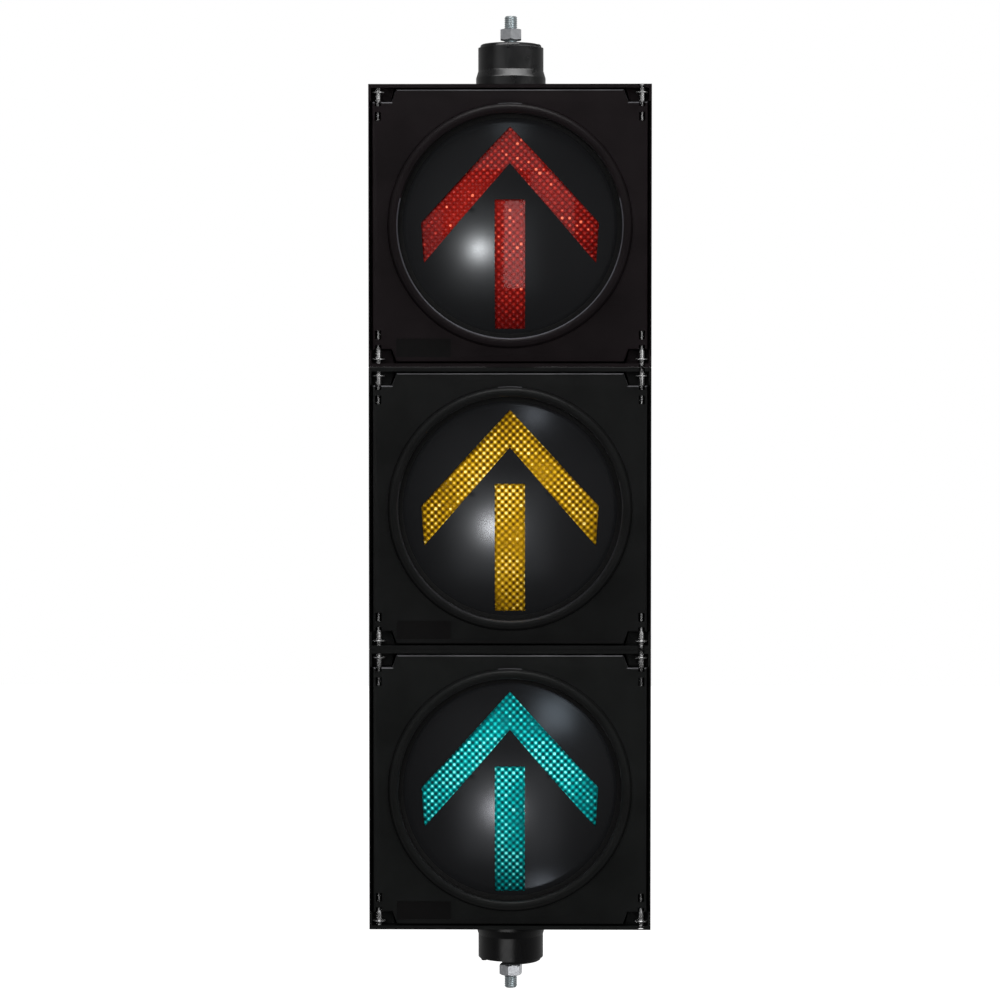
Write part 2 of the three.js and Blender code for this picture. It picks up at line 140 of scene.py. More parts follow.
def lathe(profile, segments=96, closed=True, axis="y", centre=(0, 0, 0)):
    """Rings of [radius, height] about an axis. Points at radius 0 become one vertex."""
    verts, rings = [], []
    for r, h in profile:
        count = segments if r > 1e-6 else 1
        ring = []
        for i in range(count):
            a = 2 * math.pi * i / segments
            u, v = r * math.cos(a), r * math.sin(a)
            point = (u, h, -v) if axis == "y" else (u, v, h)
            verts.append(tuple(p + c for p, c in zip(point, centre)))
            ring.append(len(verts) - 1)
        rings.append(ring)
    pairs = list(zip(rings, rings[1:] + rings[:1])) if closed else list(zip(rings, rings[1:]))
    faces = []
    for a, b in pairs:
        for i in range(segments):
            j = (i + 1) % segments
            quad = [a[i % len(a)], a[j % len(a)], b[j % len(b)], b[i % len(b)]]
            face = list(dict.fromkeys(quad))
            if len(face) > 2:
                faces.append(face)
    return verts, faces


def loft(layers):
    """Closed solid through outlines of equal length, each a list of 3-D points."""
    count = len(layers[0])
    verts = [p for layer in layers for p in layer]
    faces = [list(range(count))[::-1]]
    for k in range(len(layers) - 1):
        for i in range(count):
            j = (i + 1) % count
            a, b = k * count, (k + 1) * count
            faces.append([a + i, a + j, b + j, b + i])
    faces.append([(len(layers) - 1) * count + i for i in range(count)])
    return verts, faces


def box(low, high):
    (x0, y0, z0), (x1, y1, z1) = low, high
    layers = [[(x0, y, z0), (x1, y, z0), (x1, y, z1), (x0, y, z1)] for y in (y0, y1)]
    return loft(layers)


def rod(x, y, r, z0, z1, segments=24):
    return lathe([(0, z0), (r, z0), (r, z1), (0, z1)], segments, False, "z", (x, y, 0))


def outward(mesh):
    """Drop loose points and make the faces point out, whichever way they were listed."""
    bm = bmesh.new()
    bm.from_mesh(mesh)
    loose = [v for v in bm.verts if not v.link_faces]
    bmesh.ops.delete(bm, geom=loose, context="VERTS")
    bmesh.ops.recalc_face_normals(bm, faces=bm.faces)
    bm.to_mesh(mesh)
    bm.free()
    return mesh


def csg(base, steps):
    """A mesh from a base solid and (operation, solid) steps."""
    host = temporary(*base)
    tools = []
    for operation, shape in steps:
        tool = temporary(*shape)
        tools.append(tool)
        modifier = host.modifiers.new(operation, "BOOLEAN")
        modifier.operation, modifier.object, modifier.solver = operation, tool, "EXACT"
    bpy.context.view_layer.update()
    graph = bpy.context.evaluated_depsgraph_get()
    mesh = bpy.data.meshes.new_from_object(host.evaluated_get(graph))
    for obj in [host, *tools]:
        bpy.data.objects.remove(obj)
    return mesh


def smooth(mesh, degrees=32):
    mesh.shade_smooth()
    mesh.set_sharp_from_angle(angle=math.radians(degrees))
    return mesh


def turned(name, profile, segments=96, closed=True, axis="y", degrees=32):
    """A smooth turned piece."""
    return smooth(mesh_from(name, *lathe(profile, segments, closed, axis)), degrees)


def add_bevel(obj, width, degrees=50):
    bevel = obj.modifiers.new("edges", "BEVEL")
    bevel.width = width * MM
    bevel.segments = 2
    bevel.limit_method = "ANGLE"
    bevel.angle_limit = math.radians(degrees)
    bevel.harden_normals = True


def piece(name, mesh, node, material, at, down=False, replaces=True):
    """A shown piece that rides on a CAD node's body and stands for it.

    A piece that was made upright is turned over when it points down.
    """
    obj = bpy.data.objects.new(name, mesh)
    bpy.context.scene.collection.objects.link(obj)
    obj.location = [c * MM for c in at]
    if down:
        obj.rotation_euler.y = math.pi
    if not mesh.materials:
        mesh.materials.append(None)
    for i, slot_material in enumerate(material if isinstance(material, list) else [material]):
        obj.material_slots[i].link = "OBJECT"
        obj.material_slots[i].material = slot_material
    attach(obj, BODY[node])
    if replaces:
        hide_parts(node)
    return obj


def dress(node, material, bevel=0.0):
    """Keep a CAD node's shape and give it a finish and softened edges."""
    obj = frame["nodes"][node]
    for slot in obj.material_slots:
        slot.link = "OBJECT"
        slot.material = material
    if bevel:
        flat = obj.modifiers.new("flat", "DECIMATE")
        flat.decimate_type = "DISSOLVE"
        flat.angle_limit = math.radians(1)
        add_bevel(obj, bevel)


# Materials.


class Nodes:
    """A short way to write a material's node tree."""

    def __init__(self, name, seed=0.0):
        self.seed = seed
        self.material = bpy.data.materials.new(name)
        self.material.use_nodes = True
        self.tree = self.material.node_tree
        self.shader = self.tree.nodes["Principled BSDF"]
        self.where = self.add("ShaderNodeTexCoord").outputs["Object"]

    def add(self, kind, **settings):
        node = self.tree.nodes.new(kind)
        for key, value in settings.items():
            setattr(node, key, value)
        return node

    def link(self, output, target):
        self.tree.links.new(output, target)

    def noise(self, scale, detail=3.0, roughness=0.55):
        node = self.add("ShaderNodeTexNoise", noise_dimensions="4D")
        node.inputs["W"].default_value = self.seed
        node.inputs["Scale"].default_value = scale
        node.inputs["Detail"].default_value = detail
        node.inputs["Roughness"].default_value = roughness
        self.link(self.where, node.inputs["Vector"])
        return node.outputs["Fac"]

    def ramp(self, fac, stops):
        node = self.add("ShaderNodeValToRGB")
        elements = node.color_ramp.elements
        while len(elements) < len(stops):
            elements.new(0.5)
        for element, (at, colour) in zip(elements, stops):
            element.position = at
            element.color = (*colour, 1)
        self.link(fac, node.inputs["Fac"])
        return node.outputs["Color"]

    def remap(self, value, low, high, start=0.3, end=0.7):
        node = self.add("ShaderNodeMapRange")
        node.inputs["From Min"].default_value = start
        node.inputs["From Max"].default_value = end
        node.inputs["To Min"].default_value = low
        node.inputs["To Max"].default_value = high
        self.link(value, node.inputs["Value"])
        return node.outputs["Result"]

    def math(self, operation, a, b=0.0):
        return self.operate("ShaderNodeMath", operation, a, b).outputs[0]

    def vector(self, operation, a, b=(0, 0, 0)):
        node = self.operate("ShaderNodeVectorMath", operation, a, b)
        return node.outputs["Value" if operation in ("DOT_PRODUCT", "LENGTH") else "Vector"]

    def operate(self, kind, operation, a, b):
        node = self.add(kind, operation=operation)
        for target, value in zip(node.inputs, (a, b)):
            if isinstance(value, bpy.types.NodeSocket):
                self.link(value, target)
            else:
                target.default_value = value
        return node

    def bump(self, height, strength, distance):
        node = self.add("ShaderNodeBump")
        node.inputs["Strength"].default_value = strength
        node.inputs["Distance"].default_value = distance
        self.link(height, node.inputs["Height"])
        self.link(node.outputs["Normal"], self.shader.inputs["Normal"])


def shade(colour, factor):
    return tuple(min(1.0, c * factor) for c in colour)


def moulded(name, colour, roughness, grain=1400, bump=0.25, mottle=0.18, drift=0.055):
    """Moulded plastic: slow mottling of colour and gloss under a fine grain."""
    n = Nodes(name)
    slow = n.noise(28, 4)
    stops = [(0.35, shade(colour, 1 - mottle)), (0.65, shade(colour, 1 + mottle))]
    n.link(n.ramp(slow, stops), n.shader.inputs["Base Color"])
    n.link(n.remap(n.noise(90, 3), roughness - drift, roughness + drift), n.shader.inputs["Roughness"])
    n.bump(n.noise(grain, 2), bump, 0.00004)
    return n.material


def plated(name, colour, roughness, metallic=0.85, grain=0.12):
    """Zinc plate: cloudy crystals, with a slow change of tone."""
    n = Nodes(name)
    cloudy = n.noise(420, 5, 0.65)
    stops = [(0.3, shade(colour, 0.85)), (0.55, colour), (0.75, shade(colour, 1.1))]
    n.link(n.ramp(cloudy, stops), n.shader.inputs["Base Color"])
    n.link(n.remap(n.noise(700, 3), roughness - 0.08, roughness + 0.1), n.shader.inputs["Roughness"])
    n.shader.inputs["Metallic"].default_value = metallic
    n.bump(n.noise(1600, 3), grain, 0.00003)
    return n.material


def foam_rubber(name):
    n = Nodes(name)
    cells = n.noise(900, 4, 0.7)
    n.link(n.ramp(cells, [(0.3, (0.006,) * 3), (0.7, (0.016,) * 3)]), n.shader.inputs["Base Color"])
    n.shader.inputs["Roughness"].default_value = 0.85
    n.bump(cells, 0.5, 0.0002)
    return n.material


def lens_colour_and_painted_sparkle(name, seed, dark, middle, bright, glint, contrast=1.0):
    """Moulded prisms, in the lens's own hue with painted sparkle: a lattice of painted bright spots and dark
    hollows that drifts in strength, a few painted glints, and painted light that is brighter towards the
    middle.
    """
    n = Nodes(name, seed)
    per_metre = 1 / (math.sqrt(2) * PRISM_PITCH * MM)
    u = n.vector("DOT_PRODUCT", n.where, (per_metre, 0, per_metre))
    v = n.vector("DOT_PRODUCT", n.where, (per_metre, 0, -per_metre))
    waves = [n.math("COSINE", n.math("MULTIPLY", side, 2 * math.pi)) for side in (u, v)]
    wave = n.math("MULTIPLY", n.math("ADD", *waves), 0.5)
    crest = n.math("MAXIMUM", wave, 0.0)

    pair = n.add("ShaderNodeCombineXYZ")
    n.link(u, pair.inputs["X"])
    n.link(v, pair.inputs["Y"])
    cell = n.vector("FLOOR", n.vector("ADD", pair.outputs["Vector"], (0.5, 0.5, 0.5 + seed)))
    chance = n.add("ShaderNodeTexWhiteNoise")
    n.link(cell, chance.inputs["Vector"])
    chance = chance.outputs["Value"]

    strength = n.remap(n.noise(24, 2), 0.16 * contrast, 0.66 * contrast, 0.4, 0.6)
    level = n.math("ADD", n.math("MULTIPLY", wave, strength), n.remap(n.noise(17, 2), 0.28, 0.48))
    own = n.math("MULTIPLY", n.math("SUBTRACT", chance, 0.5), 0.3)
    level = n.math("ADD", level, n.math("MULTIPLY", own, crest))
    # Painted light: brighter towards the middle of the lens.
    painted_middle_light = n.remap(n.vector("LENGTH", n.where), 0.15, -0.07, 0.104, 0.122)
    level = n.math("ADD", level, painted_middle_light)
    # Painted glints on a few spots.
    sparkle = n.math("MULTIPLY", n.math("POWER", chance, 30.0), n.math("MULTIPLY", crest, 0.7))
    level = n.math("ADD", level, sparkle)
    stops = [(0.08, dark), (0.45, middle), (0.85, bright), (1.0, glint)]
    n.link(n.ramp(level, stops), n.shader.inputs["Base Color"])
    n.shader.inputs["Roughness"].default_value = 0.32
    n.shader.inputs["Specular IOR Level"].default_value = 0.3
    n.bump(n.noise(300, 2), 0.15, 0.0001)
    return n.material


def lens_glaze(name):
    """The lens's smooth front: clear, with a reflection on top."""
    material = bpy.data.materials.new(name)
    material.use_nodes = True
    nodes, links = material.node_tree.nodes, material.node_tree.links
    nodes.clear()
    out = nodes.new("ShaderNodeOutputMaterial")
    mix = nodes.new("ShaderNodeMixShader")
    clear = nodes.new("ShaderNodeBsdfTransparent")
    gloss = nodes.new("ShaderNodeBsdfGlossy")
    fresnel = nodes.new("ShaderNodeFresnel")
    wobble = nodes.new("ShaderNodeTexNoise")
    bump = nodes.new("ShaderNodeBump")
    where = nodes.new("ShaderNodeTexCoord")
    wobble.inputs["Scale"].default_value = 35
    bump.inputs["Strength"].default_value = 0.12
    bump.inputs["Distance"].default_value = 0.0004
    gloss.inputs["Roughness"].default_value = 0.06
    fresnel.inputs["IOR"].default_value = 1.42
    links.new(where.outputs["Object"], wobble.inputs["Vector"])
    links.new(wobble.outputs["Fac"], bump.inputs["Height"])
    links.new(bump.outputs["Normal"], gloss.inputs["Normal"])
    links.new(fresnel.outputs["Fac"], mix.inputs["Fac"])
    links.new(clear.outputs["BSDF"], mix.inputs[1])
    links.new(gloss.outputs["BSDF"], mix.inputs[2])
    links.new(mix.outputs["Shader"], out.inputs["Surface"])
    return material


# One black plastic in three copies, each with the painted colour cast and brightness that the light on its
# section gives it.
BLACK_PAINTED_CAST = {
    "red": moulded("black_plastic_red_painted_cast", (0.0098, 0.0070, 0.0080), 0.5),
    "amber": moulded("black_plastic_amber_painted_cast", (0.0086, 0.0089, 0.0089), 0.5),
    "green": moulded("black_plastic_green_painted_cast", (0.0092, 0.0098, 0.0096), 0.5),
}
PLASTIC = moulded("black_plastic", (0.0075, 0.0075, 0.0078), 0.48)
SPIGOT_PLASTIC = moulded("black_spigot_plastic", (0.0060, 0.0060, 0.0064), 0.3, grain=1000)
MASK = moulded(
    "mask_black", (0.0115, 0.0118, 0.0128), 0.25, grain=2200, bump=0.2, mottle=0.04, drift=0.006
)
# Painted highlight for edges that catch the light from above.
PAINTED_EDGE_HIGHLIGHT = moulded("painted_edge_highlight", (0.15, 0.15, 0.16), 0.4, mottle=0.3)
# Painted shade for the inside of the spigot's recesses.
PAINTED_RECESS_SHADE = moulded("painted_recess_shade", (0.002, 0.002, 0.002), 0.7)
LABEL = moulded("blank_label", (0.0052, 0.0048, 0.0050), 0.6, mottle=0.1)
# Painted highlight along the lower inner edge of each visor seat, brightest in the red section and faintest
# in the green.
LIP_HIGHLIGHT = {
    "red": moulded("lip_highlight_red", (0.13, 0.13, 0.15), 0.4),
    "amber": moulded("lip_highlight_amber", (0.03, 0.03, 0.033), 0.4),
    "green": moulded("lip_highlight_green", (0.012, 0.013, 0.013), 0.4),
}
RUBBER = foam_rubber("foam_rubber")
ZINC = plated("zinc_plate", (0.62, 0.68, 0.70), 0.34)
NUT = plated("dull_zinc_plate", (0.46, 0.47, 0.49), 0.42)
BRIGHT = plated("bright_pin_steel", (0.78, 0.78, 0.78), 0.26)
# Name, seed, then the dark, middle and bright colours of the painted prism sparkle, its painted glint colour,
# and the spots' contrast.
LENS = {
    "red": lens_colour_and_painted_sparkle(
        "red_prisms_painted_sparkle", 1.0,
        (0.075, 0.001, 0.001), (0.16, 0.004, 0.003), (0.44, 0.022, 0.013), (0.95, 0.22, 0.11), 0.55,
    ),
    "amber": lens_colour_and_painted_sparkle(
        "amber_prisms_painted_sparkle", 4.0,
        (0.06, 0.027, 0.0005), (0.31, 0.17, 0.002), (0.80, 0.50, 0.015), (1.0, 0.85, 0.30),
    ),
    "green": lens_colour_and_painted_sparkle(
        "green_prisms_painted_sparkle", 9.0,
        (0.0003, 0.034, 0.038), (0.0006, 0.18, 0.19), (0.004, 0.68, 0.66), (0.30, 1.0, 0.95),
    ),
}  # fmt: skip
GLAZE = lens_glaze("lens_glaze")
ALUMINIUM = plated("bright_aluminium", (0.82, 0.83, 0.84), 0.14, 1.0)
PORCELAIN = moulded("porcelain", (0.72, 0.70, 0.64), 0.2, grain=500, bump=0.1, mottle=0.04)
TERMINAL = moulded("grey_terminal_plastic", (0.25, 0.26, 0.24), 0.5, mottle=0.08)
SLEEVE = moulded("lead_sleeve", (0.02, 0.02, 0.02), 0.6, mottle=0.1)


def lamp_glass(name):
    n = Nodes(name)
    n.link(n.ramp(n.noise(40, 2), [(0.3, (0.9,) * 3), (0.7, (0.97,) * 3)]), n.shader.inputs["Base Color"])
    n.shader.inputs["Roughness"].default_value = 0.05
    n.shader.inputs["Alpha"].default_value = 0.35
    return n.material


GLASS = lamp_glass("lamp_glass")


# Doors.


def door_outline(inset, y):
    """The leaf's outline with its notched corners, drawn in from its edge."""
    top, foot, floor = 101.7 - inset, 105.8 - inset, 110.3 - inset
    corner = [(top, 121.4 - inset), (foot, floor), (123.0 - inset, floor)]
    right = corner + [(x, -z) for x, z in reversed(corner)]
    return [(x, y, z) for x, z in right + [(-x, z) for x, z in reversed(right)]]


def door_mesh():
    edge = [(0, DOOR_BACK), (0, -84.7), (0.12, -85.3), (0.5, -85.8), (1.1, -86)]
    shell = loft([door_outline(inset, y) for inset, y in edge])
    hollow = loft([door_outline(3, y) for y in (-60, -83)])
    aperture = lathe([(0, -95), (109.7, -95), (109.7, -72), (0, -72)], 128, False)
    ring = [
        (100.3, -82), (100.3, -88.8), (100.6, -90.0), (101.3, -91.0), (102.5, -91.7),
        (104.3, -92), (106.0, -91.7), (107.3, -90.8), (108.2, -89.4), (108.7, -87.6),
        (109.0, -85.8), (110, -85.2), (110, -70), (107, -70), (107, -82),
    ]  # fmt: skip
    steps = [("DIFFERENCE", hollow), ("DIFFERENCE", aperture), ("UNION", lathe(ring, 128))]
    for sx, sz in CORNERS.values():
        steps.append(("UNION", flipped(box((112.5, -85.4, 83), (122.6, -76, 110)), sx, sz)))
    for sx, sz in CORNERS.values():
        bore = rod(BOLT_X, BOLT_Y, 2.9, 84.5, 111.3)
        window = box((115.2, -87, 93.7), (120.8, -81, 101.3))
        mouth = box((115.2, -87, 106.5), (120.8, -81, 111.3))
        steps += [("DIFFERENCE", flipped(shape, sx, sz)) for shape in (bore, window, mouth)]
    steps.append(("DIFFERENCE", box((-102, -87, -117.5), (-52.5, -85.45, -100.5))))
    heel = DOOR_BACK + 0.4
    for x in (-DOOR_SIDE, DOOR_SIDE):
        wedge = [(0, heel), (math.copysign(3, -x), heel), (0, -64.2)]
        layers = [[(x + dx, y, z) for dx, y in wedge] for z in (-123, 123)]
        steps.append(("DIFFERENCE", loft(layers)))
    return mark_faces(smooth(csg(shell, steps)), on_door_top, on_seat_lip)


def on_door_top(c, n):
    """The upper front edge, painted lighter as a highlight."""
    return n.z > 0.3 and n.y < -0.15 and c.z > 109 and c.y < -84


def on_seat_lip(c, n):
    """The inner edge of the visor seat, but for its top, painted lighter as a highlight."""
    return c.z < 25 and c.y < -88.8 and 100.25 < math.hypot(c.x, c.z) < 101.4


def mark_faces(mesh, *tests):
    """Put each face in the slot of the first test that its centre and normal pass, from slot 1."""
    mesh.materials.clear()
    for _ in range(len(tests) + 1):
        mesh.materials.append(None)
    for face in mesh.polygons:
        passed = [i for i, test in enumerate(tests, 1) if test(face.center / MM, face.normal)]
        face.material_index = passed[0] if passed else 0
    return mesh


def flipped(shape, sx, sz):
    verts, faces = shape
    return [(x * sx, y, z * sz) for x, y, z in verts], faces


# The domed mask and the lens behind it.

ARROW = [
    [(0, 88.6), (-79.4, 2.7), (-77, -33.3), (0, 55.3), (77, -33.3), (79.4, 2.7)],
    [(-13.5, 22.9), (-13.5, -91.8), (13.5, -91.8), (13.5, 22.9)],
]


def dome_y(radius, x, z):
    return DOME_CENTRE - math.sqrt(radius**2 - x * x - z * z)


def subdivided(loop, step):
    points = []
    for (x0, z0), (x1, z1) in zip(loop, loop[1:] + loop[:1]):
        count = max(1, round(math.hypot(x1 - x0, z1 - z0) / step))
        points += [(x0 + (x1 - x0) * i / count, z0 + (z1 - z0) * i / count) for i in range(count)]
    return points


def inside(loop, x, z):
    odd = False
    for (x0, z0), (x1, z1) in zip(loop, loop[1:] + loop[:1]):
        if (z0 > z) != (z1 > z) and x < (x1 - x0) * (z - z0) / (z1 - z0) + x0:
            odd = not odd
    return odd


def mask_mesh():
    """A disc with the arrow cut out, bent to the dome and given a thickness."""
    turns = np.linspace(0, 2 * math.pi, 145)[:-1]
    rim = [(MASK_EDGE * math.cos(a), MASK_EDGE * math.sin(a)) for a in turns]
    holes = [subdivided(loop, 4) for loop in ARROW]
    points, edges = [], []
    for loop in [rim, *holes]:
        first = len(points)
        points += loop
        edges += [(first + i, first + (i + 1) % len(loop)) for i in range(len(loop))]
    grid = np.arange(-95, 96, 5.0)
    points += [
        (x, z) for x in grid for z in grid
        if math.hypot(x, z) < MASK_EDGE - 3 and not any(inside(loop, x, z) for loop in ARROW)
    ]  # fmt: skip
    verts, _, faces, *_ = geometry.delaunay_2d_cdt([Vector(p) for p in points], edges, [], 0, 1e-4)
    kept = []
    for face in faces:
        x = sum(verts[i].x for i in face) / len(face)
        z = sum(verts[i].y for i in face) / len(face)
        if math.hypot(x, z) < MASK_EDGE and not any(inside(loop, x, z) for loop in ARROW):
            kept.append(list(face))
    return mask_shell([(v.x, v.y) for v in verts], kept)


def mask_shell(flat, faces):
    """Front and back sheets on nested domes, joined along every free edge."""
    n = len(flat)
    front = [(x, dome_y(MASK_R, x, z) + MASK_INSET, z) for x, z in flat]
    back = [(x, dome_y(MASK_R - MASK_THICK, x, z), z) for x, z in flat]
    count = {}
    for face in faces:
        for a, b in zip(face, face[1:] + face[:1]):
            count[frozenset((a, b))] = count.get(frozenset((a, b)), 0) + 1
    walls = []
    for face in faces:
        for a, b in zip(face, face[1:] + face[:1]):
            if count[frozenset((a, b))] == 1:
                walls.append([b, a, a + n, b + n])
    turned_over = [[i + n for i in face[::-1]] for face in faces]
    return smooth(outward(mesh_from("arrow_mask", front + back, faces + turned_over + walls)), 40)


def lens_mesh():
    """Smooth domed front and flange in the first slot, and a back of pillow prisms in the second."""
    flange = dome_y(LENS_R, MASK_EDGE, 0)
    front = [(r, dome_y(LENS_R, r, 0)) for r in np.linspace(0, MASK_EDGE, 25)]
    verts, faces = lathe(front, 96, False)
    smooth_count = len(faces)
    rim_verts, rim_faces = lathe(
        [(MASK_EDGE, flange), (105, flange), (105, flange + 3), (95.5, flange + 3)], 96, False
    )
    base = len(verts)
    verts += rim_verts
    faces += [[i + base for i in face] for face in rim_faces]
    base = len(verts)
    half = (int(PRISM_EDGE / PRISM_PITCH) + 1) * PRISM_STEPS
    line = np.arange(-half, half + 1) / PRISM_STEPS
    index = {}
    for i, u in enumerate(line):
        for j, v in enumerate(line):
            x, z = (u + v) * PRISM_PITCH / math.sqrt(2), (v - u) * PRISM_PITCH / math.sqrt(2)
            r = math.hypot(x, z)
            if r > PRISM_EDGE + PRISM_PITCH / PRISM_STEPS:
                continue
            if r > PRISM_EDGE:
                x, z = x * PRISM_EDGE / r, z * PRISM_EDGE / r
            pillow = math.sqrt(abs(math.cos(math.pi * u) * math.cos(math.pi * v)))
            y = dome_y(LENS_R - LENS_THICK, x, z) + PRISM_DEPTH * pillow
            index[i, j] = base + len(index)
            verts.append((x, y, z))
    for i, j in list(index):
        quad = [(i, j), (i, j + 1), (i + 1, j + 1), (i + 1, j)]
        if all(q in index for q in quad):
            faces.append([index[q] for q in quad])
    mesh = mesh_from("lens", verts, faces)
    mesh.materials.append(None)
    mesh.materials.append(None)
    for face in mesh.polygons[smooth_count:]:
        face.material_index = 1
    return smooth(mesh, 50)


# Bolts, nuts and spigots.


def sprung_bolt_mesh():
    """Domed head, thin finger flange, shoulder, taper and shank, about the bolt's own axis."""
    profile = [
        (0, 125.6), (1.7, 125.6), (2.1, 125.2), (2.1, 123.2), (1.9, 122.6), (1.9, 122.2),
        (2.1, 121.9), (2.1, 119.6), (5.5, 119.6), (5.8, 119.3), (5.8, 118.8), (5.5, 118.5),
        (2.3, 118.5), (2.3, 111.6), (2.15, 110.8), (1.35, 107.8), (1.3, 107.2), (1.3, 88.9),
        (1.0, 88.5), (0, 88.5),
    ]  # fmt: skip
    return turned("sprung_bolt", profile[::-1], 24, False, "z", 35)


def stud_mesh(z0, z1, r=5.95, pitch=1.75, depth=0.85, segments=36, per=8):
    """A helical thread with a chamfered end at z1, in per rings for each turn."""
    count = int((z1 - z0) / pitch * per)
    verts = []
    for k in range(count + 1):
        z = z0 + (z1 - z0) * k / count
        for i in range(segments):
            phase = ((z / pitch - i / segments) % 1.0) * 2
            radius = r - depth * (1 - abs(phase - 1)) ** 1.2
            radius = min(radius, r - 1.3 + (z1 - z))
            a = 2 * math.pi * i / segments
            verts.append((radius * math.cos(a), radius * math.sin(a), z))
    faces = []
    for k in range(count):
        for i in range(segments):
            j = (i + 1) % segments
            a, b = k * segments, (k + 1) * segments
            faces.append([a + i, a + j, b + j, b + i])
    faces.append(list(range(segments))[::-1])
    faces.append([count * segments + i for i in range(segments)])
    return smooth(mesh_from("stud", verts, faces), 38)


def polygon(r, count, turn, z):
    angles = [turn + i * 2 * math.pi / count for i in range(count)]
    return [(r * math.cos(a), r * math.sin(a), z) for a in angles]


def nut_mesh(z0, z1, turn, across_flats=19.0):
    """A hexagon nut, its corners turned off at both faces, with a countersunk hole."""
    r = across_flats / math.sqrt(3)
    body = loft([polygon(r, 6, turn, z) for z in (z0, z1)])
    rim = across_flats / 2 * 0.97
    drop = (r - rim) * 0.62
    wide = r + 0.02
    cones = lathe(
        [(0, z0), (rim, z0), (wide, z0 + drop), (wide, z1 - drop), (rim, z1), (0, z1)], 72, False, "z"
    )
    bore = lathe(
        [(0, z0 - 1), (7.6, z0 - 1), (7.0, z0 + 0.1), (6.3, z0 + 0.9), (6.3, z1 - 0.9), (7.0, z1 - 0.1),
         (7.6, z1 + 1), (0, z1 + 1)], 48, False, "z"
    )  # fmt: skip
    return smooth(csg(body, [("INTERSECT", cones), ("DIFFERENCE", bore)]), 25)


def ring_nut_mesh():
    """A large thin nut with eight sides."""
    body = loft([polygon(32, 8, math.pi / 8, z) for z in (0.3, 8)])
    return smooth(csg(body, [("DIFFERENCE", rod(0, 0, 22.8, -1, 9, 64))]))


def sector(inner, outer, start, end, z0, z1):
    """Part of a ring between two angles, in degrees."""
    angles = [math.radians(start + (end - start) * i / 12) for i in range(13)]
    loop = [(outer * math.cos(a), outer * math.sin(a)) for a in angles]
    loop += [(inner * math.cos(a), inner * math.sin(a)) for a in reversed(angles)]
    return loft([[(x, y, z) for x, y in loop] for z in (z0, z1)])


def spigot_mesh(recess_r):
    """Base, cone, barrel and raised rim, about the spigot's own axis, with its base at z 0.

    The rim's two recesses reach in as far as recess_r. Its inner wall is at 23.
    """
    profile = [
        (0, 6), (18, 6), (18, -14), (22.4, -14), (22.4, 0.3), (31.6, 0.3), (32, 0.7),
        (32, 1.2), (32, 11.8), (32, 12.4), (31.9, 12.9), (31.75, 13.3), (30.35, 18),
        (30.2, 18.4), (30, 19), (30, 19.6), (30, LEDGE - 0.8), (30, LEDGE - 0.2),
        (29.85, LEDGE), (28.1, LEDGE), (28, LEDGE + 0.1), (28, 42.2), (27.6, 42.9),
        (26.8, 43.4), (26.0, SPIGOT), (23.4, SPIGOT), (23, 43.1), (23, 14.6),
        (22.4, 14), (0, 14),
    ]  # fmt: skip
    steps = [("DIFFERENCE", rod(0, 0, 6.3, 0, 20))]
    for i in range(3):
        a = math.pi / 2 + i * 2 * math.pi / 3
        steps.append(("DIFFERENCE", rod(13.5 * math.cos(a), 13.5 * math.sin(a), 4.5, 0, 20)))
    for turn in (0, 180):
        steps.append(("DIFFERENCE", sector(recess_r, 31, turn - 74, turn - 14, LEDGE + 0.02, 46)))
    mesh = smooth(csg(lathe(profile, 96, False, "z"), steps), 35)
    return mark_faces(mesh, on_recess_wall, on_recess_edge)


def on_recess_wall(c, n):
    """The inner wall of the upper spigot's recesses, painted dark as shade."""
    return c.z > LEDGE and abs(math.hypot(c.x, c.y) - 25) < 0.4 and abs(n.z) < 0.3


def on_recess_edge(c, n):
    """The ledge in front of the right-hand recess, painted lighter as a highlight."""
    return abs(c.z - LEDGE) < 0.25 and math.hypot(c.x, c.y) > 25.2 and c.x > 8 and c.y < 0


# Assembly.


def lamp_meshes():
    """An ordinary bulb: its globe, and its ribbed cap."""
    globe = [
        (0, -59), (6, -58.2), (12, -55.6), (17, -51.4), (20.6, -46), (22.7, -40), (23, -35),
        (21.8, -29), (19, -23), (16, -18), (14, -14.5), (13, -11),
    ]  # fmt: skip
    cap = [(13, -11), (13.2, -8), (12.6, -7)]
    cap += [(12.6 + 0.5 * (k % 2), -7 + k * 1.75) for k in range(19)]
    cap += [(9, 27), (4, 28), (0, 28)]
    return (
        turned("lamp_globe", globe, 48, False, degrees=60),
        turned("lamp_cap", cap, 48, False, degrees=60),
    )


def holder_mesh():
    """A turned lamp holder with a groove round its collar."""
    profile = [
        (0, 31), (14, 31), (14, 5.6), (14.8, 4.8), (19.2, 4.8), (20, 5.6), (20, 12), (19, 12.6),
        (19, 14.4), (20, 15), (20, 40), (19.6, 42), (17, 47.6), (16.4, 48), (0, 48),
    ]  # fmt: skip
    return turned("lamp_holder", profile, 64, False)


def gasket_mesh():
    """The ring between door and lens, with a thin inner lip."""
    profile = [
        (96.2, -81.3), (96.6, -81.7), (106.6, -81.7), (106.6, -79.2), (97.2, -79.2),
        (97.2, -80.85), (96.2, -80.85),
    ]  # fmt: skip
    return turned("lens_gasket", profile, 128)


def clamp_mesh():
    profile = [(98, -75.2), (106.6, -75.2), (106.6, -71.4), (106.2, -71), (98.4, -71), (98, -71.4)]
    return turned("clamp_ring", profile, 128)


def section_piece(colour, name, mesh, node, material, replaces=True):
    """A piece of one section, which was made about the section's centre."""
    at = (0, 0, SECTION_Z[colour])
    piece(f"{colour}_{name}", mesh, f"{colour}_{node}", material, at, replaces=replaces)


